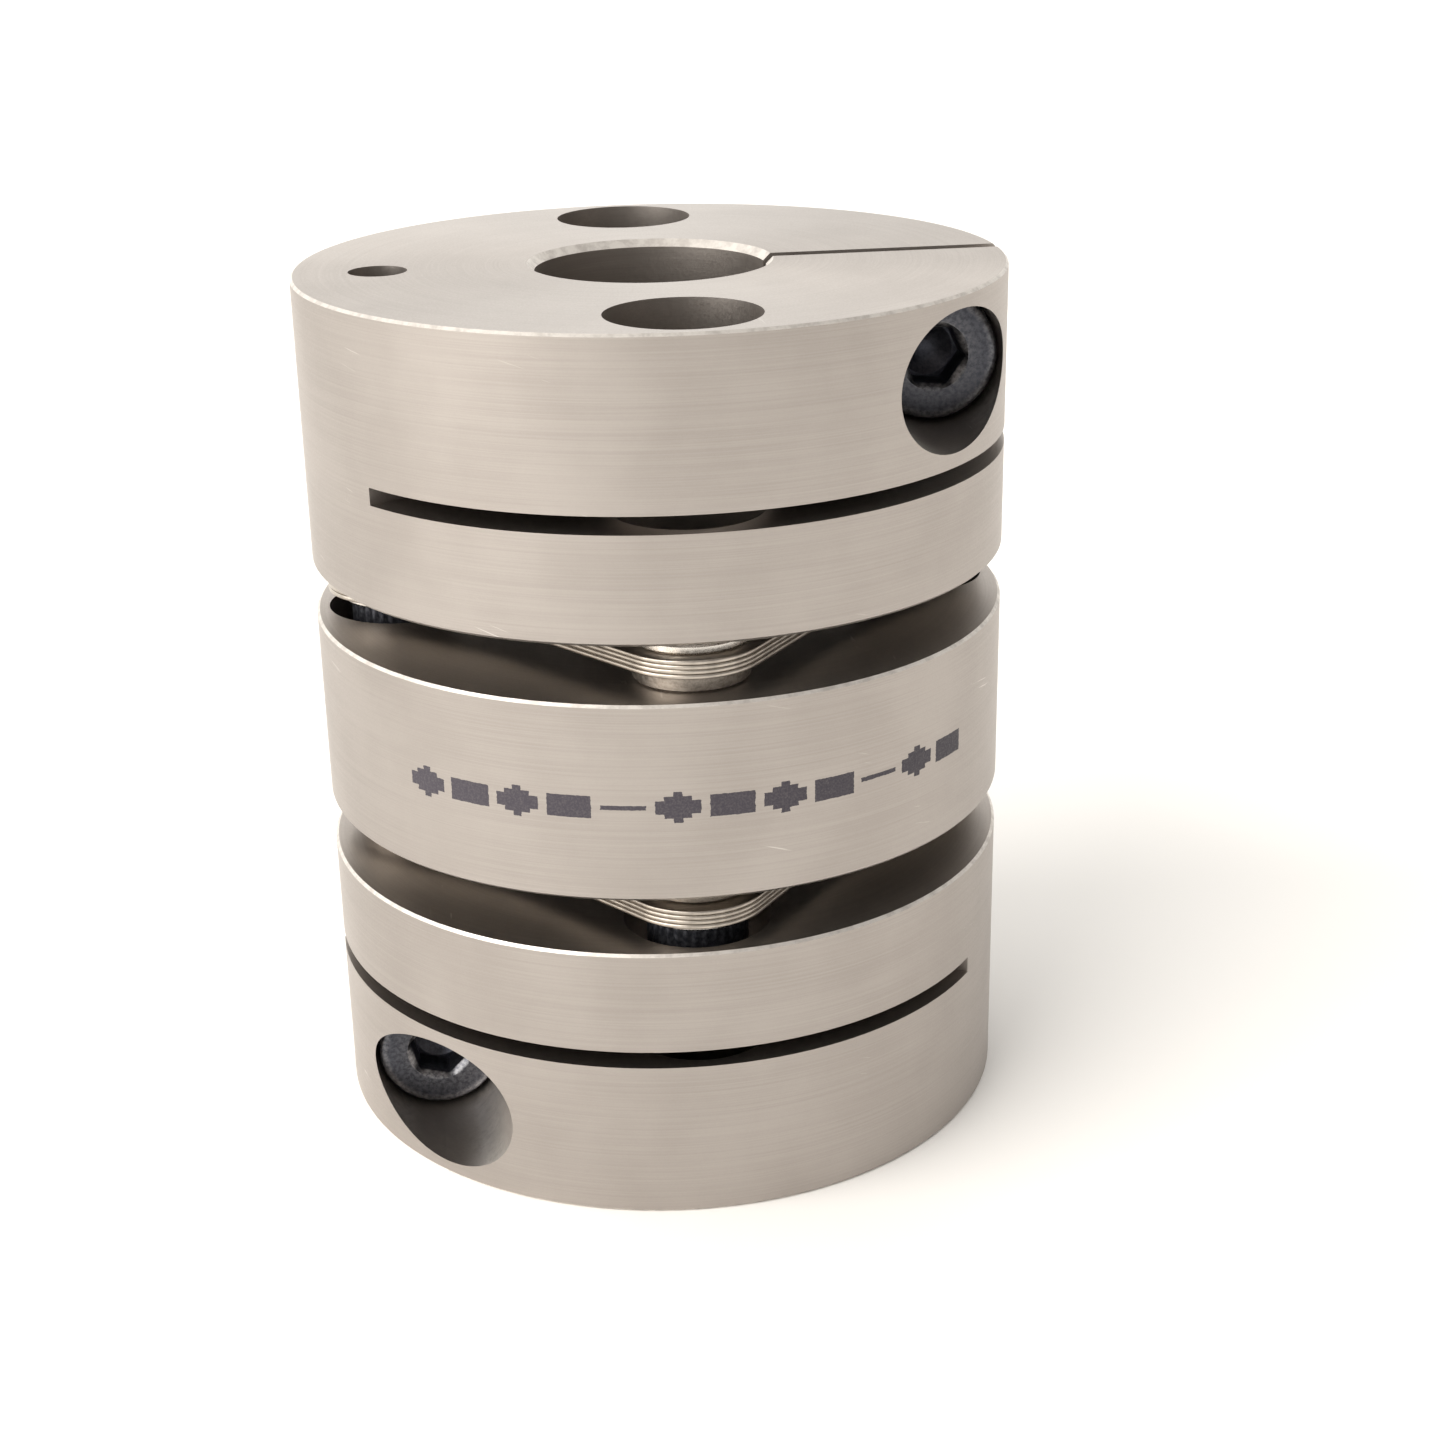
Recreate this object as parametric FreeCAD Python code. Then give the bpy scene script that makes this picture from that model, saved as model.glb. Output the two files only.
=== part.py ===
import FreeCAD, Part
import math
import os

# Double-flex disc coupling for servo shafts: two clamp hubs, a centre spacer and two packs of
# thin spring-steel discs. Each pack is screwed to the spacer at its front and back lobes and to
# its hub at its left and right lobes, so it bends between them and carries the torque.
#
# Millimetres. The origin is the centre of the lower hub's end face and +Z runs up the shaft line.
# The clamp screws' heads face -Y, the front. The upper hub's clamp screw lies on the +X side, and
# the lower hub with its pack is the same assembly given a half turn about the Y direction.

# Hubs and spacer
outside_diameter = 39.0
hub_length = 15.6
spacer_length = 10.78
bore_diameter = 12.7
spacer_opening_diameter = 17.0
rim_chamfer = 0.15
bore_chamfer = 0.4

# Clamp: a split opens the bore towards +X, and a slit under the front jaw frees it to close
slit_width = 0.95
slit_start = 5.75           # from the hub's inner face
slit_end = 54.5             # degrees from the front, round the rim away from the split
slit_overrun = 35.0         # degrees by which it runs on past the split
slit_saw_diameter = 80.0
slit_reach = 5.0            # from the axis to the saw's edge, so that it cuts into the bore
split_width = 1.0

# Clamp screw, M4 socket head
clamp_screw_offset = 14.3
clamp_screw_diameter = 4.0
clamp_screw_length = 12.0
clamp_head_diameter = 7.0
clamp_head_height = 4.0
clamp_socket_width = 3.0
clamp_seat_distance = 3.3   # from the coupling's mid-plane to the face under the head
counterbore_diameter = 7.4
clamp_clearance_diameter = 4.5

# Disc packs
lamination_count = 4
lamination_thickness = 0.26
collar_thickness = 1.035
bolt_circle_radius = 14.8
lobe_radius = 4.0
waist_angle = 7.0           # degrees by which each side leans in towards its middle
waist_radius = 25.0
pack_opening_diameter = 17.0
pack_hole_diameter = 3.2

# Disc screws, M3 socket head, with their washers and collars
disc_screw_diameter = 3.0
disc_screw_length = 6.0
disc_head_diameter = 5.5
disc_head_height = 3.0
disc_socket_width = 2.5
washer_diameter = 6.4
washer_thickness = 0.5
collar_diameter = 6.2
relief_hole_diameter = 3.2
access_hole_diameter = 8.0

thread_play = 0.05          # radial clearance of a shank in its tapped hole
past = 1.0                  # how far a cutting tool runs past a face
big = 60.0

outside_radius = outside_diameter / 2
bore_radius = bore_diameter / 2
pack_thickness = lamination_count * lamination_thickness
gap = pack_thickness + 2 * collar_thickness
total_length = 2 * hub_length + 2 * gap + spacer_length
spacer_bottom = hub_length + gap
spacer_top = spacer_bottom + spacer_length
upper_hub_bottom = spacer_top + gap
upper_pack_bottom = spacer_top + collar_thickness
upper_pack_top = upper_pack_bottom + pack_thickness
clamp_screw_height = (hub_length + slit_start + slit_width) / 2

X = FreeCAD.Vector(1, 0, 0)
Y = FreeCAD.Vector(0, 1, 0)
Z = FreeCAD.Vector(0, 0, 1)
ORIGIN = FreeCAD.Vector(0, 0, 0)


def turned(profile):
    """A solid of revolution about Z from its outline, a list of (radius, height)."""
    points = [FreeCAD.Vector(radius, 0, height) for radius, height in profile]
    outline = Part.makePolygon(points + points[:1])
    return Part.Face(outline).revolve(ORIGIN, Z, 360)


def upright(diameter, bottom, top, x=0.0, y=0.0):
    """A round bar along Z, used to cut holes."""
    return Part.makeCylinder(diameter / 2, top - bottom, FreeCAD.Vector(x, y, bottom), Z)


def crosswise(diameter, start, end, x, z):
    """A round bar along Y, used to cut holes."""
    return Part.makeCylinder(diameter / 2, end - start, FreeCAD.Vector(x, start, z), Y)


def chamfered_tube(outer_radius, inner_radius, length, inner_chamfer):
    """A turned ring from z = 0 to length with both rims and both mouths chamfered."""
    return turned([
        (inner_radius + inner_chamfer, 0),
        (outer_radius - rim_chamfer, 0),
        (outer_radius, rim_chamfer),
        (outer_radius, length - rim_chamfer),
        (outer_radius - rim_chamfer, length),
        (inner_radius + inner_chamfer, length),
        (inner_radius, length - inner_chamfer),
        (inner_radius, inner_chamfer),
    ])


def clamp_slit():
    """The slit under the front jaw, made by turning the hub past a circular saw."""
    saw_radius = slit_saw_diameter / 2
    distance = saw_radius + slit_reach
    # Half the angle of rim that the saw takes in one position, by the law of cosines
    half_bite = math.degrees(math.acos(
        (distance ** 2 + outside_radius ** 2 - saw_radius ** 2) / (2 * distance * outside_radius)))
    first = slit_overrun - half_bite
    last = -90 - slit_end + half_bite
    height = FreeCAD.Vector(0, 0, slit_start)
    saw = Part.makeCylinder(saw_radius, slit_width, height + X * distance, Z)
    between = Part.makeCylinder(big, slit_width, height, Z, first - last)
    return [
        saw.rotated(ORIGIN, Z, first),
        between.rotated(ORIGIN, Z, last),
        saw.rotated(ORIGIN, Z, last),
    ]


def clamp_split():
    """The cut that opens the clamp ring from the bore to the rim on the +X side."""
    corner = FreeCAD.Vector(0, -split_width / 2, slit_start + slit_width / 2)
    return Part.makeBox(big, split_width, hub_length, corner)


def clamp_screw_bores():
    """Counterbore, clearance hole in the near jaw and tapped hole in the far jaw."""
    tapped_diameter = clamp_screw_diameter + 2 * thread_play
    place = (clamp_screw_offset, clamp_screw_height)
    return [
        crosswise(counterbore_diameter, -big / 2, -clamp_seat_distance, *place),
        crosswise(clamp_clearance_diameter, -clamp_seat_distance - past, 0, *place),
        crosswise(tapped_diameter, 0, big / 2, *place),
    ]


def hub():
    """One clamp hub, with its pack side at z = 0 and its end face at z = hub_length."""
    blank = chamfered_tube(outside_radius, bore_radius, hub_length, bore_chamfer)
    slit_middle = slit_start + slit_width / 2
    cuts = clamp_slit() + [clamp_split()] + clamp_screw_bores()
    for side in (-1, 1):
        cuts.append(upright(
            access_hole_diameter, -past, hub_length + past, 0, side * bolt_circle_radius))
        cuts.append(upright(
            disc_screw_diameter, -past, slit_middle, side * bolt_circle_radius, 0))
    cuts.append(upright(
        relief_hole_diameter, slit_middle, hub_length + past, -bolt_circle_radius, 0))
    return blank.cut(cuts)


def spacer():
    """The centre member: tapped through at front and back, clear holes at left and right."""
    ring = chamfered_tube(
        outside_radius, spacer_opening_diameter / 2, spacer_length, rim_chamfer)
    cuts = []
    for side in (-1, 1):
        cuts.append(upright(
            disc_screw_diameter, -past, spacer_length + past, 0, side * bolt_circle_radius))
        cuts.append(upright(
            access_hole_diameter, -past, spacer_length + past, side * bolt_circle_radius, 0))
    return ring.cut(cuts)


def polar(distance, degrees):
    angle = math.radians(degrees)
    return FreeCAD.Vector(distance * math.cos(angle), distance * math.sin(angle), 0)


def lamination_outline():
    """Four round lobes joined by waisted sides: for each lobe its arc, then the side after it."""
    half_arc = 45 + waist_angle
    half_side = bolt_circle_radius * math.sin(math.radians(45))
    # Where the two leaning halves of a side would meet, and the arc that rounds that corner off
    lean = math.radians(waist_angle)
    corner = half_side + lobe_radius / math.cos(lean) - half_side * math.tan(lean)
    arc_centre = corner + waist_radius / math.cos(lean)

    def lobe_point(lobe, offset):
        return polar(bolt_circle_radius, lobe) + polar(lobe_radius, lobe + offset)

    def waist_point(side, offset):
        return polar(arc_centre, side) - polar(waist_radius, side - offset)

    edges = []
    for lobe in (0, 90, 180, 270):
        side = lobe + 45
        edges += [
            Part.Arc(lobe_point(lobe, -half_arc), lobe_point(lobe, 0), lobe_point(lobe, half_arc)),
            Part.LineSegment(lobe_point(lobe, half_arc), waist_point(side, -waist_angle)),
            Part.Arc(waist_point(side, -waist_angle), waist_point(side, 0),
                     waist_point(side, waist_angle)),
            Part.LineSegment(waist_point(side, waist_angle), lobe_point(lobe + 90, -half_arc)),
        ]
    return Part.Wire([edge.toShape() for edge in edges])


def lamination():
    """One spring-steel disc, lying on z = 0."""
    plate = Part.Face(lamination_outline()).extrude(Z * lamination_thickness)
    holes = [upright(pack_opening_diameter, -past, past)]
    for x, y in ((1, 0), (-1, 0), (0, 1), (0, -1)):
        holes.append(upright(
            pack_hole_diameter, -past, past, x * bolt_circle_radius, y * bolt_circle_radius))
    return plate.cut(holes)


def flat_ring(diameter, thickness, edge=0.1):
    """A washer or collar lying on z = 0, with its outer edges broken."""
    outer = diameter / 2
    inner = pack_hole_diameter / 2
    return turned([
        (inner, 0),
        (outer - edge, 0),
        (outer, edge),
        (outer, thickness - edge),
        (outer - edge, thickness),
        (inner, thickness),
    ])


def cap_screw(diameter, length, head_diameter, head_height, socket_width, play=0.0):
    """A socket-head cap screw, its head standing on z = 0 and its shank below."""
    shank = diameter / 2 - play
    head = head_diameter / 2
    head_edge = head_height / 10
    end_chamfer = diameter / 10
    body = turned([
        (0, -length),
        (shank - end_chamfer, -length),
        (shank, end_chamfer - length),
        (shank, 0),
        (head, 0),
        (head, head_height - head_edge),
        (head - head_edge, head_height),
        (0, head_height),
    ])
    corner_radius = socket_width / math.sqrt(3)
    corners = [polar(corner_radius, 60 * k) for k in range(6)]
    hexagon = Part.Face(Part.makePolygon(corners + corners[:1]))
    socket = hexagon.extrude(Z * head_height)
    socket.translate(Z * (head_height / 2))
    return body.cut(socket)


def disc_screw():
    return cap_screw(disc_screw_diameter, disc_screw_length, disc_head_diameter,
                     disc_head_height, disc_socket_width, thread_play)


def clamp_screw():
    """The upper hub's clamp screw, its head towards -Y."""
    screw = cap_screw(clamp_screw_diameter, clamp_screw_length, clamp_head_diameter,
                      clamp_head_height, clamp_socket_width)
    screw.rotate(ORIGIN, X, 90)
    height = upper_hub_bottom + clamp_screw_height
    screw.translate(FreeCAD.Vector(clamp_screw_offset, -clamp_seat_distance, height))
    return screw


def moved(shape, x, y, z):
    copy = shape.copy()
    copy.translate(FreeCAD.Vector(x, y, z))
    return copy


def upside_down(shape):
    return shape.rotated(ORIGIN, X, 180)


def lower_twin(shape):
    """The same piece in the lower half: a half turn about Y through the coupling's middle."""
    return shape.rotated(FreeCAD.Vector(0, 0, total_length / 2), Y, 180)


def fastener_set(x, y, on_spacer):
    """Collar, washer and screw of one lobe of the upper pack.

    On the spacer the collar lies under the pack and the head stands above it; on the hub the
    collar lies above the pack and the head hangs below it.
    """
    collar = flat_ring(collar_diameter, collar_thickness)
    washer = flat_ring(washer_diameter, washer_thickness)
    screw = disc_screw()
    if on_spacer:
        return {
            "collar": moved(collar, x, y, spacer_top),
            "washer": moved(washer, x, y, upper_pack_top),
            "screw": moved(screw, x, y, upper_pack_top + washer_thickness),
        }
    return {
        "collar": moved(collar, x, y, upper_pack_top),
        "washer": moved(washer, x, y, upper_pack_bottom - washer_thickness),
        "screw": moved(upside_down(screw), x, y, upper_pack_bottom - washer_thickness),
    }


def upper_half():
    """Every piece above the spacer, with the names of the lobes seen from the front."""
    pieces = {
        "hub": moved(hub(), 0, 0, upper_hub_bottom),
        "clamp_screw": clamp_screw(),
    }
    for number in range(lamination_count):
        height = upper_pack_bottom + number * lamination_thickness
        pieces[f"lamination_{number + 1}"] = moved(lamination(), 0, 0, height)
    lobes = [
        ("spacer", "front", 0, -bolt_circle_radius),
        ("spacer", "back", 0, bolt_circle_radius),
        ("hub", "left", -bolt_circle_radius, 0),
        ("hub", "right", bolt_circle_radius, 0),
    ]
    for holder, place, x, y in lobes:
        for kind, shape in fastener_set(x, y, holder == "spacer").items():
            pieces[f"{holder}_{kind}_{place}"] = shape
    return pieces


def twin_name(name):
    """The half turn swaps left and right."""
    swapped = {"left": "right", "right": "left"}
    head, _, tail = name.rpartition("_")
    return f"{head}_{swapped[tail]}" if tail in swapped else name


def all_pieces():
    pieces = {"spacer": moved(spacer(), 0, 0, spacer_bottom)}
    for name, shape in upper_half().items():
        pieces[f"upper_{name}"] = shape
        pieces[f"lower_{twin_name(name)}"] = lower_twin(shape)
    return pieces


os.makedirs("parts", exist_ok=True)
for name, shape in sorted(all_pieces().items()):
    if not shape.isValid() or len(shape.Solids) != 1:
        raise ValueError(f"{name} is not one valid solid")
    shape.exportStep(f"parts/{name}.step")
    print(f"{name}: {shape.Volume:.2f} mm3")
print(f"length {total_length:.2f} mm, gap {gap:.2f} mm")
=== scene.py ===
"""Looks of a double-flex disc coupling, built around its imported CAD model.

The hubs, spacer, washers and collars are the CAD's own pieces with procedural materials. The disc
laminations and all screws are rebuilt with rounded punched edges, knurled heads and real threads,
and each hub's tapped clamp hole gets its thread.

Sizes are in millimetres until a mesh is made; the scene itself is in metres. -Y is the front.
"""

import math
import random
from collections import namedtuple

import bmesh
import bpy
from mathutils import Matrix, Vector


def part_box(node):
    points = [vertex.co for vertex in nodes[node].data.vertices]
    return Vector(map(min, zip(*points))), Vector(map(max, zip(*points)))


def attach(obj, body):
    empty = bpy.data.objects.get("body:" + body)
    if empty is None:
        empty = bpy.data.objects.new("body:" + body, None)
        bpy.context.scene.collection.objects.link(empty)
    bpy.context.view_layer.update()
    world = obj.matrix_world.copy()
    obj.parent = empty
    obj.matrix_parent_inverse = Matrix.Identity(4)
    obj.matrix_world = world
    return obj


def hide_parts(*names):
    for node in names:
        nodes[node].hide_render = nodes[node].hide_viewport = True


MM = 0.001

# Coupling
OUTSIDE_RADIUS = 19.5

# Disc laminations
LAMINATION_COUNT = 4
LAMINATION_THICKNESS = 0.256
LAMINATION_PLAY = 0.002       # a hair's gap to whatever lies above and below
LAMINATION_EDGE = 0.09        # rounding of the punched edges
BOLT_CIRCLE_RADIUS = 14.8
LOBE_RADIUS = 4.0
WAIST_ANGLE = 7.0             # degrees by which each side leans in towards its middle
WAIST_RADIUS = 25.0
PACK_OPENING_RADIUS = 8.5
PACK_HOLE_RADIUS = 1.6
STACKING_SHIFT = 0.03         # how far a disc may sit off centre
STACKING_TURN = 0.12          # and how far it may be turned, in degrees

# Socket-head cap screws
Screw = namedtuple("Screw", "diameter length pitch head_diameter head_height socket_width")
CLAMP_SCREW = Screw(4.0, 12.0, 0.7, 7.0, 4.0, 3.0)
DISC_SCREW = Screw(2.9, 6.0, 0.5, 5.5, 3.0, 2.5)
SCREW_SPIN = 28               # how far a screw may be turned from square, in degrees
KNURL_RIDGES = 32
KNURL_DEPTH = 0.11
POINTS_PER_RIDGE = 4
ROWS_PER_PITCH = 6
THREAD_CREST = 0.12           # width of a flat crest, of the pitch
THREAD_FLANKS = 0.72          # width of a groove's two flanks together, of the pitch
OUTER_THREAD_DEPTH = 0.58     # of the pitch
INNER_THREAD_DEPTH = 0.50

# Thread of the tapped hole in each hub's far jaw
TAPPED_RADIUS = 2.04
TAPPED_START = 8.9            # just past the clamp screw's end
TAPPED_SETBACK = 0.12         # from the hub's round side, so that nothing stands out of it
TAPPED_ROWS = 72
TAPPED_POINTS = 64
TAPPED_LEAD_IN = 16           # rows over which the thread fades out at its mouth
CLAMP_SCREW_OFFSET = 14.3

# Ink mark on the spacer: a row of diamonds, blocks and dashes, made of dots
MARK_CENTRE = 23.95
MARK_START = -49.0            # degrees from the front
MARK_END = 50.0
DOT_WIDTH = 0.47
DOT_HEIGHT = 0.245
MARK_ROWS = 7
SHAPE_COLUMNS = 6             # five columns of dots and one blank
MIDDLE_COLUMN = 2
MIDDLE_ROW = 3
INK_SPREAD = 0.32             # how far the ink strays from its dots, in dots

# Camera
CAMERA_PLACE = (-13.33, -127.59, 71.07)
CAMERA_HEADING = 7.521        # degrees from +Y towards +X
CAMERA_PITCH = 21.358         # degrees down
CAMERA_ROLL = -1.084
CAMERA_LENS = 58.169
SENSOR_WIDTH = 36.0

# Light
KEY_TOWARDS = (-0.80, -0.42, 0.50)
KEY_STRENGTH = 3.6
KEY_SPREAD = 60               # degrees
BRIGHT_SIDE = (-0.38, 0.48, 0.10)
FLOOR_HALF = 3.0              # metres
FLOOR_CELLS = 12

# Linear colours
WHITE_LIGHT = (1.60, 1.57, 1.51, 1)
GREY_LIGHT = (0.34, 0.33, 0.32, 1)
KEY_COLOUR = (1.0, 0.965, 0.915)
FLOOR_COLOURS = ((0.86, 0.845, 0.825, 1), (0.90, 0.885, 0.865, 1))
ALUMINIUM_COLOURS = ((0.372, 0.338, 0.312, 1), (0.428, 0.392, 0.364, 1))
SCRATCH_COLOUR = (0.72, 0.69, 0.65, 1)
# Painted highlight: the brighter colour given to chamfered edges in place of the light they catch
EDGE_HIGHLIGHT_COLOUR = (0.66, 0.62, 0.575, 1)
INK_COLOUR = (0.040, 0.034, 0.046, 1)
SPRING_COLOURS = ((0.36, 0.325, 0.285, 1), (0.50, 0.455, 0.40, 1))
COLLAR_COLOURS = ((0.21, 0.185, 0.162, 1), (0.36, 0.325, 0.285, 1))
WASHER_COLOURS = ((0.60, 0.57, 0.53, 1), (0.78, 0.745, 0.70, 1))
OXIDE_COLOURS = ((0.030, 0.032, 0.042, 1), (0.060, 0.063, 0.078, 1))
WORN_COLOUR = (0.26, 0.26, 0.27, 1)


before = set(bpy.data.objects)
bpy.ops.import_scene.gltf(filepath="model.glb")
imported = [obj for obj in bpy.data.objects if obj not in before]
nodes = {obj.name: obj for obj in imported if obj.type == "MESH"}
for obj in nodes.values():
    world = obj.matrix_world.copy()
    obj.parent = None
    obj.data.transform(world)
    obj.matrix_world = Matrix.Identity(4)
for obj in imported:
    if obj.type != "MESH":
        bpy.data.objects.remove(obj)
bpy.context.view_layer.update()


# ---------------------------------------------------------------- material helpers

class Shader:
    """A procedural material being built from nodes."""

    def __init__(self, name):
        self.material = bpy.data.materials.new(name)
        self.material.use_nodes = True
        self.tree = self.material.node_tree
        self.surface = self.tree.nodes["Principled BSDF"]

    def node(self, kind, **settings):
        made = self.tree.nodes.new("ShaderNode" + kind)
        for key, value in settings.items():
            setattr(made, key, value)
        return made

    def feed(self, socket, value):
        """Links an output to the socket, or sets the socket's value."""
        if isinstance(value, bpy.types.NodeSocket):
            self.tree.links.new(value, socket)
        else:
            socket.default_value = value

    def math(self, operation, *values, clamp=False):
        made = self.node("Math", operation=operation, use_clamp=clamp)
        for socket, value in zip(made.inputs, values):
            self.feed(socket, value)
        return made.outputs[0]

    def vector(self, x, y, z):
        made = self.node("CombineXYZ")
        for socket, value in zip(made.inputs, (x, y, z)):
            self.feed(socket, value)
        return made.outputs[0]

    def ramp(self, value, start, end, low=0.0, high=1.0):
        """Goes smoothly from low to high as value goes from start to end."""
        made = self.node("MapRange", interpolation_type="SMOOTHSTEP")
        for socket, number in zip(made.inputs, (value, start, end, low, high)):
            self.feed(socket, number)
        return made.outputs[0]

    def noise(self, vector, scale=1.0, detail=2.0, roughness=0.5, w=None):
        made = self.node("TexNoise", noise_dimensions="3D" if w is None else "4D")
        self.feed(made.inputs["Vector"], vector)
        if w is not None:
            self.feed(made.inputs["W"], w)
        made.inputs["Scale"].default_value = scale
        made.inputs["Detail"].default_value = detail
        made.inputs["Roughness"].default_value = roughness
        return made.outputs["Fac"]

    def mix(self, factor, first, second):
        """Mixes two colours."""
        made = self.node("Mix", data_type="RGBA")
        self.feed(made.inputs[0], factor)
        self.feed(made.inputs[6], first)
        self.feed(made.inputs[7], second)
        return made.outputs[2]

    def bump(self, height, distance, strength=1.0, normal=None):
        made = self.node("Bump")
        made.inputs["Strength"].default_value = strength
        made.inputs["Distance"].default_value = distance * MM
        self.feed(made.inputs["Height"], height)
        if normal is not None:
            self.feed(made.inputs["Normal"], normal)
        return made.outputs[0]

    def place(self):
        """The point in the piece's own frame, in millimetres, as three outputs."""
        scaled = self.node("VectorMath", operation="SCALE")
        self.feed(scaled.inputs[0], self.node("TexCoord").outputs["Object"])
        scaled.inputs["Scale"].default_value = 1 / MM
        return self.node_split(scaled.outputs[0]), scaled.outputs[0]

    def node_split(self, vector):
        made = self.node("SeparateXYZ")
        self.feed(made.inputs[0], vector)
        return made.outputs[:]

    def own_normal(self):
        """The normal in the piece's own frame, as three outputs."""
        return self.node_split(self.node("TexCoord").outputs["Normal"])

    def set(self, **values):
        """Sets or links the surface's sockets, named with _ for a space."""
        for name, value in values.items():
            self.feed(self.surface.inputs[name.replace("_", " ")], value)


def radius_and_direction(shader, x, y):
    """Distance from the piece's axis and the unit direction from it."""
    radius = shader.math("SQRT", shader.math(
        "ADD", shader.math("MULTIPLY", x, x), shader.math("MULTIPLY", y, y)))
    safe = shader.math("MAXIMUM", radius, 0.001)
    return radius, shader.math("DIVIDE", x, safe), shader.math("DIVIDE", y, safe)


def lathe_lines(shader, x, y, z, lines_per_mm, around, detail=2.0):
    """Noise drawn out into the rings that a turning tool leaves on sides and end faces alike."""
    radius, east, north = radius_and_direction(shader, x, y)
    along = shader.vector(
        shader.math("MULTIPLY", east, around),
        shader.math("MULTIPLY", north, around),
        shader.math("MULTIPLY", z, lines_per_mm))
    return shader.noise(along, 1.0, detail, 0.6, w=shader.math("MULTIPLY", radius, lines_per_mm))


def dot_mark(shader, x, y, z):
    """How much ink lies at a point of the spacer: 0 for bare metal to 1 for full ink."""
    spread = shader.noise(shader.vector(x, y, z), 5.0, 3.0)
    stray = shader.math("MULTIPLY", shader.math("SUBTRACT", spread, 0.5), INK_SPREAD)
    degrees = shader.math("MULTIPLY", shader.math("ARCTAN2", x, shader.math("MULTIPLY", y, -1.0)),
                          180 / math.pi)
    arc = math.radians(1.0) * OUTSIDE_RADIUS / DOT_WIDTH
    across = shader.math("ADD", stray, shader.math(
        "MULTIPLY", shader.math("SUBTRACT", degrees, MARK_START), arc))
    bottom = MARK_CENTRE - MARK_ROWS * DOT_HEIGHT / 2
    up = shader.math("ADD", stray, shader.math(
        "DIVIDE", shader.math("SUBTRACT", z, bottom), DOT_HEIGHT))
    column = shader.math("FLOOR", across)
    row = shader.math("FLOOR", up)
    number = shader.math("FLOOR", shader.math("DIVIDE", column, SHAPE_COLUMNS))
    place = shader.math("FLOORED_MODULO", column, SHAPE_COLUMNS)

    def equal(value, target):
        return shader.math("COMPARE", value, target, 0.25)

    def distance_from(value, target):
        return shader.math("ABSOLUTE", shader.math("SUBTRACT", value, target))

    off_row = distance_from(row, MIDDLE_ROW)
    off_column = distance_from(place, MIDDLE_COLUMN)
    diamond = shader.math("LESS_THAN", shader.math("ADD", off_column, off_row), 3.5)
    block = shader.math("LESS_THAN", off_row, 2.5)
    dash = shader.math("LESS_THAN", off_row, 0.5)
    # Of every five shapes the last is a dash, and the others are diamonds and blocks by turns
    kind = shader.math("FLOORED_MODULO", number, 5.0)
    is_dash = equal(kind, 4.0)
    is_block = equal(shader.math("FLOORED_MODULO", kind, 2.0), 1.0)
    is_diamond = shader.math("SUBTRACT", shader.math("SUBTRACT", 1.0, is_block), is_dash)
    pattern = shader.math("ADD", shader.math("MULTIPLY", is_diamond, diamond), shader.math(
        "ADD", shader.math("MULTIPLY", is_block, block), shader.math("MULTIPLY", is_dash, dash)))

    limits = [
        shader.math("LESS_THAN", place, SHAPE_COLUMNS - 1.5),
        shader.math("GREATER_THAN", row, -0.5),
        shader.math("LESS_THAN", row, MARK_ROWS - 0.5),
        shader.math("GREATER_THAN", degrees, MARK_START),
        shader.math("LESS_THAN", degrees, MARK_END),
    ]
    radius = radius_and_direction(shader, x, y)[0]
    limits.append(shader.math("GREATER_THAN", radius, OUTSIDE_RADIUS - 0.1))
    ink = pattern
    for limit in limits:
        ink = shader.math("MULTIPLY", ink, limit)
    return ink


# ---------------------------------------------------------------- materials

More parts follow.
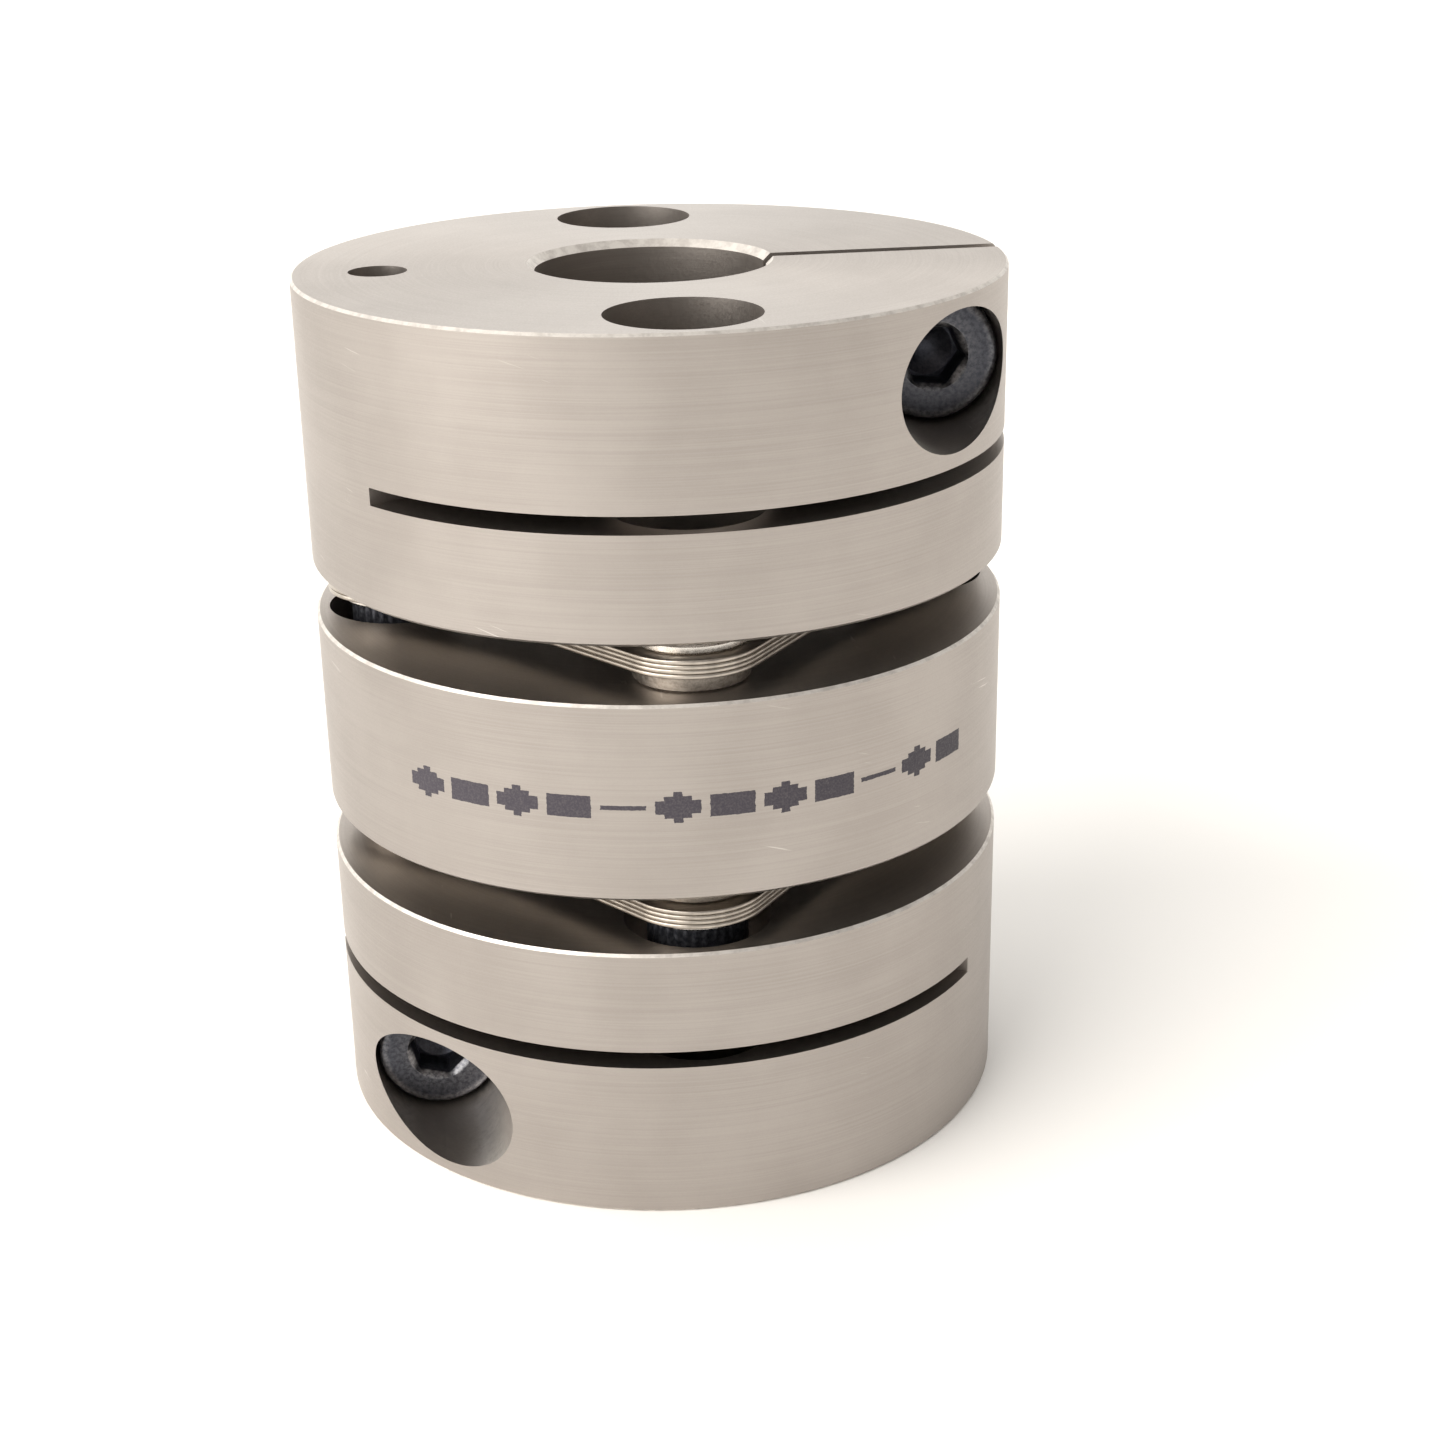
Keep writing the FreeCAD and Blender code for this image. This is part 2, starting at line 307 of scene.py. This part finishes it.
def turned_aluminium(name, marked=False):
    """Satin turned aluminium: fine tool rings, a painted highlight on the chamfered edges and a few
    fine scratches.
    """
    s = Shader(name)
    (x, y, z), point = s.place()
    fine = lathe_lines(s, x, y, z, 14.0, 1.5)
    coarse = lathe_lines(s, x, y, z, 3.2, 0.8, 3.0)
    blotch = s.noise(point, 0.16, 3.0)
    grain = s.noise(point, 9.0, 3.0, 0.7)
    normal_z = s.own_normal()[2]
    slope = s.math("ABSOLUTE", normal_z)
    # Painted highlight: chamfers, picked out by the slope of the normal, get a brighter colour
    # broken up by noise
    on_edge = s.math("MULTIPLY", s.ramp(slope, 0.3, 0.6), s.ramp(slope, 0.97, 0.8))
    highlight_breakup = s.ramp(s.noise(point, 1.1, 3.0, 0.7), 0.3, 0.62, 0.35, 1.0)
    painted_edge_highlight = s.math("MULTIPLY", on_edge, highlight_breakup)
    tone = s.math("ADD", s.math("MULTIPLY", fine, 0.42), s.math(
        "ADD", s.math("MULTIPLY", coarse, 0.12), s.math("MULTIPLY", blotch, 0.46)))
    colour = s.mix(s.ramp(tone, 0.35, 0.65), *ALUMINIUM_COLOURS)
    scratch = scratches(s, x, y, z)
    colour = s.mix(s.math("MULTIPLY", scratch, 0.5), colour, SCRATCH_COLOUR)
    # Mixes the painted edge highlight into the colour
    colour = s.mix(painted_edge_highlight, colour, EDGE_HIGHLIGHT_COLOUR)
    rough = s.math("ADD", s.ramp(grain, 0.3, 0.7, 0.36, 0.46),
                   s.math("MULTIPLY", s.math("ADD", painted_edge_highlight, scratch), -0.08))
    metal = 1.0
    if marked:
        ink = dot_mark(s, x, y, z)
        coverage = s.math("MULTIPLY", ink, s.ramp(grain, 0.25, 0.6, 0.88, 1.0))
        colour = s.mix(coverage, colour, INK_COLOUR)
        rough = s.math("ADD", rough, s.math("MULTIPLY", coverage, 0.15))
        metal = s.math("SUBTRACT", 1.0, s.math("MULTIPLY", coverage, 0.9))
    height = s.math("ADD", s.math("MULTIPLY", fine, 0.8), s.math("MULTIPLY", coarse, 0.2))
    s.set(Base_Color=colour, Metallic=metal, Roughness=rough, Anisotropic=0.45)
    tangent = s.node("Tangent", direction_type="RADIAL", axis="Z")
    s.feed(s.surface.inputs["Tangent"], tangent.outputs[0])
    s.feed(s.surface.inputs["Normal"], s.bump(height, 0.003))
    return s.material


def scratches(shader, x, y, z):
    """A few hair-fine handling scratches, as a mask."""
    streaks = shader.noise(shader.vector(
        shader.math("ADD", shader.math("MULTIPLY", x, 0.25), shader.math("MULTIPLY", z, 0.12)),
        shader.math("MULTIPLY", y, 0.25),
        shader.math("ADD", shader.math("MULTIPLY", z, 7.0), shader.math("MULTIPLY", x, 2.2))),
        1.0, 2.0)
    patches = shader.noise(shader.vector(x, y, z), 0.22, 2.0)
    return shader.math("MULTIPLY", shader.ramp(streaks, 0.70, 0.74),
                       shader.ramp(patches, 0.58, 0.68))


def plain_steel(name, colours, roughness):
    """A turned steel fitting, from its dark and its light colour."""
    s = Shader(name)
    (x, y, z), point = s.place()
    lines = lathe_lines(s, x, y, z, 6.0, 0.5)
    grain = s.noise(point, 7.0, 3.0, 0.6)
    tone = s.math("ADD", s.math("MULTIPLY", lines, 0.5), s.math("MULTIPLY", grain, 0.5))
    s.set(Base_Color=s.mix(s.ramp(tone, 0.35, 0.65), *colours), Metallic=1.0,
          Roughness=s.ramp(grain, 0.3, 0.7, roughness - 0.06, roughness + 0.08))
    s.feed(s.surface.inputs["Normal"], s.bump(tone, 0.004))
    return s.material


def spring_steel(name):
    """Cold-rolled spring steel: brushed faces and faint shear streaks down the punched edges."""
    s = Shader(name)
    (x, y, z), _ = s.place()
    rolled = s.noise(s.vector(s.math("MULTIPLY", x, 0.25), s.math("MULTIPLY", y, 9.0), z), 1.0, 3.0)
    sheared = s.noise(s.vector(s.math("MULTIPLY", x, 1.6), s.math("MULTIPLY", y, 1.6),
                               s.math("MULTIPLY", z, 0.4)), 1.0, 3.0)
    slope = s.math("ABSOLUTE", s.own_normal()[2])
    face = s.ramp(slope, 0.7, 0.95)
    streaks = s.math("ADD", s.math("MULTIPLY", face, rolled), s.math(
        "MULTIPLY", s.math("SUBTRACT", 1.0, face), sheared))
    colour = s.mix(s.ramp(streaks, 0.3, 0.7), *SPRING_COLOURS)
    s.set(Base_Color=colour, Metallic=1.0, Roughness=s.ramp(streaks, 0.3, 0.7, 0.36, 0.28))
    s.feed(s.surface.inputs["Normal"], s.bump(streaks, 0.0015))
    return s.material


def black_oxide(name):
    """Black-oxide screw with metal showing through where its edges are worn."""
    s = Shader(name)
    (x, y, z), point = s.place()
    wear = s.node("Attribute", attribute_name="wear").outputs["Fac"]
    grain = s.noise(point, 4.0, 3.0, 0.65)
    lines = lathe_lines(s, x, y, z, 8.0, 0.6)
    worn = s.math("MULTIPLY", wear, s.ramp(grain, 0.35, 0.65, 0.25, 1.0))
    base = s.mix(s.ramp(grain, 0.3, 0.7), *OXIDE_COLOURS)
    s.set(Base_Color=s.mix(worn, base, WORN_COLOUR), Metallic=0.85,
          Roughness=s.ramp(grain, 0.3, 0.7, 0.30, 0.44))
    s.feed(s.surface.inputs["Normal"], s.bump(lines, 0.004))
    return s.material


MATERIALS = {
    "hub": turned_aluminium("turned_aluminium"),
    "spacer": turned_aluminium("turned_aluminium_marked", marked=True),
    "lamination": spring_steel("spring_steel"),
    "collar": plain_steel("collar_steel", COLLAR_COLOURS, 0.40),
    "washer": plain_steel("washer_steel", WASHER_COLOURS, 0.26),
    "screw": black_oxide("black_oxide"),
}


def finish_cad_nodes():
    """Gives every CAD node its material."""
    for name, node in nodes.items():
        kind = next((k for k in ("lamination", "collar", "washer", "screw") if k in name), None)
        kind = kind or ("spacer" if name == "spacer" else "hub")
        node.data.materials.clear()
        node.data.materials.append(MATERIALS[kind])


# ---------------------------------------------------------------- mesh helpers

def make_piece(name, points, faces, material, wear=None, sharp_degrees=35):
    """A smooth-shaded mesh piece from points in millimetres."""
    mesh = bpy.data.meshes.new(name)
    mesh.from_pydata([Vector(point) * MM for point in points], [], faces)
    mesh.materials.append(material)
    if wear is not None:
        mesh.attributes.new("wear", "FLOAT", "POINT").data.foreach_set("value", wear)
    piece = bpy.data.objects.new(name, mesh)
    bpy.context.scene.collection.objects.link(piece)
    work = bmesh.new()
    work.from_mesh(mesh)
    bmesh.ops.recalc_face_normals(work, faces=work.faces)
    for face in work.faces:
        face.smooth = True
    for edge in work.edges:
        if len(edge.link_faces) == 2:
            edge.smooth = edge.calc_face_angle(0) < math.radians(sharp_degrees)
    work.to_mesh(mesh)
    work.free()
    return piece


def skin(rings, first=None, last=None):
    """Points and faces over a stack of equal rings, closed by a point at each end."""
    count = len(rings[0])
    points = [point for ring in rings for point in ring]
    faces = []
    for row in range(len(rings) - 1):
        for k in range(count):
            a = row * count + k
            b = row * count + (k + 1) % count
            faces.append((a, b, b + count, a + count))
    for pole, row in ((first, 0), (last, len(rings) - 1)):
        if pole is not None:
            points.append(pole)
            for k in range(count):
                faces.append((row * count + k, row * count + (k + 1) % count, len(points) - 1))
    return points, faces


def ring(radius, height, count):
    """A ring about Z; radius may be a function of the angle."""
    points = []
    for k in range(count):
        angle = 2 * math.pi * k / count
        r = radius(angle) if callable(radius) else radius
        points.append((r * math.cos(angle), r * math.sin(angle), height))
    return points


def thread_radius(angle, height, major, depth, pitch):
    """Radius of a right-hand V thread whose crests and roots are flattened."""
    phase = (height / pitch - angle / (2 * math.pi)) % 1.0
    groove = (abs(2 * phase - 1) - THREAD_CREST) / THREAD_FLANKS
    groove = min(max(groove, 0.0), 1.0)
    return major - depth * groove


# ---------------------------------------------------------------- screws

def hexagon(width, growth=1.0):
    """Radius of a hexagonal socket by angle."""
    def radius(angle):
        lean = (angle % (math.pi / 3)) - math.pi / 6
        return growth * width / 2 / math.cos(lean)
    return radius


def knurl(radius, depth):
    """Radius of a straight-knurled head by angle."""
    return lambda angle: radius - depth * (0.5 - 0.5 * math.cos(KNURL_RIDGES * angle))


def cap_screw(name, size):
    """A socket-head cap screw along Z: its seat at z = 0, its head above and its thread below."""
    length = size.length
    pitch = size.pitch
    head_height = size.head_height
    socket = size.socket_width
    count = KNURL_RIDGES * POINTS_PER_RIDGE
    shank = size.diameter / 2
    head = size.head_diameter / 2
    edge = head_height * 0.09
    floor = head_height * 0.5
    rings, wear = [], []

    def add(radius, height, worn=0.0):
        rings.append(ring(radius, height, count))
        wear.extend([worn] * count)

    # Socket: drilled cone, hexagonal wall, countersunk mouth
    add(socket * 0.30, floor - 0.12 * socket)
    add(socket * 0.47, floor)
    add(hexagon(socket), floor)
    add(hexagon(socket), head_height - 0.11 * socket, 0.1)
    add(hexagon(socket, 1.02), head_height - 0.09 * socket, 0.7)
    add(socket * 0.62, head_height - 0.01, 0.8)
    add(socket * 0.64, head_height, 0.3)
    # Top face and its rounded edge
    add(head - edge * 1.7, head_height, 0.1)
    for step in range(4):
        turn = math.radians(30 * step)
        add(head - edge + edge * math.sin(turn) - 0.02, head_height - edge + edge * math.cos(turn),
            0.5)
    # Knurled side
    add(knurl(head, KNURL_DEPTH), head_height - edge - 0.12, 0.25)
    add(knurl(head, KNURL_DEPTH), 0.42, 0.15)
    add(head - 0.06, 0.26, 0.2)
    add(head - 0.06, 0.10, 0.3)
    add(head - 0.16, 0.0, 0.2)
    add(shank + 0.12, 0.0)
    add(shank, -0.12)
    # Thread, running out under the head and into the chamfered tip
    depth = OUTER_THREAD_DEPTH * pitch
    thread_top = -1.6 * pitch
    rows = int((length + thread_top) / pitch * ROWS_PER_PITCH)
    chamfer = 0.75 * depth
    for row in range(rows + 1):
        height = thread_top + (-length - thread_top) * row / rows
        run_out = min(1.0, row / (1.2 * ROWS_PER_PITCH))
        limit = shank - max(0.0, chamfer - (height + length))

        def radius(angle, height=height, run_out=run_out, limit=limit):
            return min(limit, thread_radius(angle, height, shank, depth * run_out, pitch))
        add(radius, height, 0.05)
    add(shank * 0.55, -length)
    points, faces = skin(rings, (0, 0, floor - 0.25 * socket), (0, 0, -length))
    wear.extend([0.0, 0.0])  # the two closing points
    return make_piece(name, points, faces, MATERIALS["screw"], wear)


def place_screws():
    """Rebuilds every screw where its CAD node stands."""
    spin = random.Random(4)
    for name in sorted(nodes):
        if not name.endswith("clamp_screw") and "_screw_" not in name:
            continue
        low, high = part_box(name)
        centre = (low + high) / 2
        half = "upper" if name.startswith("upper") else "lower"
        turn = Matrix.Rotation(math.radians(spin.uniform(-SCREW_SPIN, SCREW_SPIN)), 4, "Z")
        if name.endswith("clamp_screw"):
            screw = cap_screw(name + "_detail", CLAMP_SCREW)
            seat = Vector((centre.x, low.y + CLAMP_SCREW.head_height * MM, centre.z))
            upright = Matrix.Rotation(math.radians(90), 4, "X")
            body = name
        else:
            screw = cap_screw(name + "_detail", DISC_SCREW)
            on_spacer = "_spacer_" in name
            head_up = on_spacer == (half == "upper")
            head = DISC_SCREW.head_height * MM
            height = high.z - head if head_up else low.z + head
            seat = Vector((centre.x, centre.y, height))
            upright = Matrix.Rotation(0 if head_up else math.pi, 4, "X")
            body = "spacer" if on_spacer else half + "_hub"
        screw.matrix_world = Matrix.Translation(seat) @ upright @ turn
        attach(screw, body)
        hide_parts(name)


def tapped_thread(half):
    """The thread in the far jaw's tapped hole, cut off along the hub's round side."""
    side = 1 if half == "upper" else -1
    low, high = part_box(half + "_clamp_screw")
    height = (low.z + high.z) / 2 / MM
    pitch = CLAMP_SCREW.pitch

    def exit_at(angle):
        across = CLAMP_SCREW_OFFSET + side * TAPPED_RADIUS * math.cos(angle)
        return math.sqrt(OUTSIDE_RADIUS ** 2 - across ** 2) - TAPPED_SETBACK

    def wall(row, threaded):
        fade = min(1.0, (TAPPED_ROWS - row) / TAPPED_LEAD_IN)
        depth = INNER_THREAD_DEPTH * pitch * fade
        points = []
        for k in range(TAPPED_POINTS):
            angle = 2 * math.pi * k / TAPPED_POINTS
            y = TAPPED_START + (exit_at(angle) - TAPPED_START) * row / TAPPED_ROWS
            radius = TAPPED_RADIUS
            if threaded:
                radius = thread_radius(angle, y, TAPPED_RADIUS - 0.012, depth, pitch)
            points.append((side * CLAMP_SCREW_OFFSET + radius * math.cos(angle), y,
                           height + radius * math.sin(angle)))
        return points

    rings = [wall(row, True) for row in range(TAPPED_ROWS + 1)]
    rings += [wall(row, False) for row in range(TAPPED_ROWS, -1, -1)]
    points, faces = skin(rings)
    back = (len(rings) - 1) * TAPPED_POINTS
    for k in range(TAPPED_POINTS):
        following = (k + 1) % TAPPED_POINTS
        faces.append((back + k, back + following, following, k))
    piece = make_piece(half + "_hub_thread", points, faces, MATERIALS["hub"])
    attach(piece, half + "_hub")


# ---------------------------------------------------------------- disc packs

def arc(centre, radius, start, end, steps, outward=1):
    """Points on an arc with the outward normal at each; angles in degrees."""
    made = []
    for step in range(steps + 1):
        angle = math.radians(start + (end - start) * step / steps)
        east, north = math.cos(angle), math.sin(angle)
        made.append(((centre[0] + radius * east, centre[1] + radius * north),
                     (outward * east, outward * north)))
    return made


def polar(distance, degrees):
    return (distance * math.cos(math.radians(degrees)), distance * math.sin(math.radians(degrees)))


def lamination_outline():
    """Four round lobes joined by waisted sides, as points with outward normals."""
    half_arc = 45 + WAIST_ANGLE
    lean = math.radians(WAIST_ANGLE)
    half_side = BOLT_CIRCLE_RADIUS * math.sin(math.radians(45))
    corner = half_side + LOBE_RADIUS / math.cos(lean) - half_side * math.tan(lean)
    arc_centre = corner + WAIST_RADIUS / math.cos(lean)
    outline = []
    for lobe in (0, 90, 180, 270):
        outline += arc(polar(BOLT_CIRCLE_RADIUS, lobe), LOBE_RADIUS,
                       lobe - half_arc, lobe + half_arc, 40)
        waist = lobe + 45
        outline += arc(polar(arc_centre, waist), WAIST_RADIUS,
                       waist + 180 + WAIST_ANGLE, waist + 180 - WAIST_ANGLE, 10, -1)
    return outline


def lamination(name, bottom, jitter):
    """One spring-steel disc with rounded punched edges, lying with its underside at bottom."""
    loops = [lamination_outline(), arc((0, 0), PACK_OPENING_RADIUS, 360, 0, 120, -1)[:-1]]
    for lobe in (0, 90, 180, 270):
        loops.append(arc(polar(BOLT_CIRCLE_RADIUS, lobe), PACK_HOLE_RADIUS, 360, 0, 40, -1)[:-1])
    profile = []
    for step in range(4):
        turn = math.radians(30 * step)
        profile.append((LAMINATION_EDGE * (1 - math.sin(turn)),
                        LAMINATION_THICKNESS - LAMINATION_EDGE * (1 - math.cos(turn))))
    profile += [(inset, LAMINATION_THICKNESS - height) for inset, height in reversed(profile)]
    turn = math.radians(jitter.uniform(-STACKING_TURN, STACKING_TURN))
    shift = (jitter.uniform(-1, 1) * STACKING_SHIFT, jitter.uniform(-1, 1) * STACKING_SHIFT)

    def placed(x, y, z):
        east = x * math.cos(turn) - y * math.sin(turn) + shift[0]
        north = x * math.sin(turn) + y * math.cos(turn) + shift[1]
        return (east * MM, north * MM, (bottom + z) * MM)

    work = bmesh.new()
    rims = {0: [], len(profile) - 1: []}
    for loop in loops:
        rows = []
        for level, (inset, height) in enumerate(profile):
            row = [work.verts.new(placed(x - inset * nx, y - inset * ny, height))
                   for (x, y), (nx, ny) in loop]
            rows.append(row)
            if level in rims:
                rims[level] += [(row[k], row[(k + 1) % len(row)]) for k in range(len(row))]
        for upper, lower in zip(rows, rows[1:]):
            for k in range(len(upper)):
                following = (k + 1) % len(upper)
                work.faces.new((upper[k], upper[following], lower[following], lower[k]))
    for pairs in rims.values():
        edges = [work.edges.get(pair) or work.edges.new(pair) for pair in pairs]
        bmesh.ops.triangle_fill(work, use_beauty=True, edges=edges)
    bmesh.ops.recalc_face_normals(work, faces=work.faces)
    for face in work.faces:
        face.smooth = True
    mesh = bpy.data.meshes.new(name)
    work.to_mesh(mesh)
    work.free()
    mesh.materials.append(MATERIALS["lamination"])
    piece = bpy.data.objects.new(name, mesh)
    bpy.context.scene.collection.objects.link(piece)
    return piece


def place_laminations():
    jitter = random.Random(11)
    for half in ("lower", "upper"):
        for number in range(1, LAMINATION_COUNT + 1):
            node = f"{half}_lamination_{number}"
            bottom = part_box(node)[0].z / MM
            disc = lamination(node + "_detail", bottom + LAMINATION_PLAY, jitter)
            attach(disc, half + "_pack")
            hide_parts(node)


# ---------------------------------------------------------------- stage

def add_floor():
    s = Shader("pale_floor")
    _, point = s.place()
    cloud = s.noise(point, 0.02, 3.0)
    s.set(Base_Color=s.mix(cloud, *FLOOR_COLOURS), Roughness=0.6)
    steps = [FLOOR_HALF * (2 * k / FLOOR_CELLS - 1) for k in range(FLOOR_CELLS + 1)]
    points = [(x, y, 0) for y in steps for x in steps]
    across = len(steps)
    corners = [row * across + column
               for row in range(FLOOR_CELLS) for column in range(FLOOR_CELLS)]
    faces = [(k, k + 1, k + across + 1, k + across) for k in corners]
    mesh = bpy.data.meshes.new("floor")
    mesh.from_pydata(points, [], faces)
    mesh.materials.append(s.material)
    floor = bpy.data.objects.new("floor", mesh)
    bpy.context.scene.collection.objects.link(floor)


def add_sun(name, towards, strength, spread, colour):
    """A soft distant light. towards points from the object to the light."""
    lamp = bpy.data.lights.new(name, "SUN")
    lamp.energy = strength
    lamp.angle = math.radians(spread)
    lamp.color = colour
    holder = bpy.data.objects.new(name, lamp)
    bpy.context.scene.collection.objects.link(holder)
    holder.rotation_euler = Vector(towards).to_track_quat("Z", "Y").to_euler()


def light_stage():
    """A soft key from the upper left and a plain surround, brighter at the left and the back."""
    add_sun("key", KEY_TOWARDS, KEY_STRENGTH, KEY_SPREAD, KEY_COLOUR)
    world = bpy.data.worlds.new("studio")
    world.use_nodes = True
    tree = world.node_tree
    direction = tree.nodes.new("ShaderNodeTexCoord")
    split = tree.nodes.new("ShaderNodeVectorMath")
    split.operation = "DOT_PRODUCT"
    split.inputs[1].default_value = BRIGHT_SIDE
    tree.links.new(direction.outputs["Generated"], split.inputs[0])
    level = tree.nodes.new("ShaderNodeMapRange")
    level.inputs["From Min"].default_value = -0.5
    level.inputs["From Max"].default_value = 0.5
    tree.links.new(split.outputs["Value"], level.inputs["Value"])
    mix = tree.nodes.new("ShaderNodeMix")
    mix.data_type = "RGBA"
    mix.inputs[6].default_value = GREY_LIGHT
    mix.inputs[7].default_value = WHITE_LIGHT
    tree.links.new(level.outputs["Result"], mix.inputs[0])
    tree.links.new(mix.outputs[2], tree.nodes["Background"].inputs["Color"])
    bpy.context.scene.world = world
    bpy.context.scene.view_settings.view_transform = "Standard"


def add_camera():
    lens = bpy.data.cameras.new("camera")
    lens.lens = CAMERA_LENS
    lens.sensor_width = SENSOR_WIDTH
    lens.clip_start = 0.005
    camera = bpy.data.objects.new("camera", lens)
    bpy.context.scene.collection.objects.link(camera)
    camera.matrix_world = (
        Matrix.Translation(Vector(CAMERA_PLACE) * MM)
        @ Matrix.Rotation(-math.radians(CAMERA_HEADING), 4, "Z")
        @ Matrix.Rotation(math.radians(90 - CAMERA_PITCH), 4, "X")
        @ Matrix.Rotation(math.radians(CAMERA_ROLL), 4, "Z"))
    bpy.context.scene.camera = camera


finish_cad_nodes()
place_laminations()
place_screws()
tapped_thread("upper")
tapped_thread("lower")
add_floor()
light_stage()
add_camera()
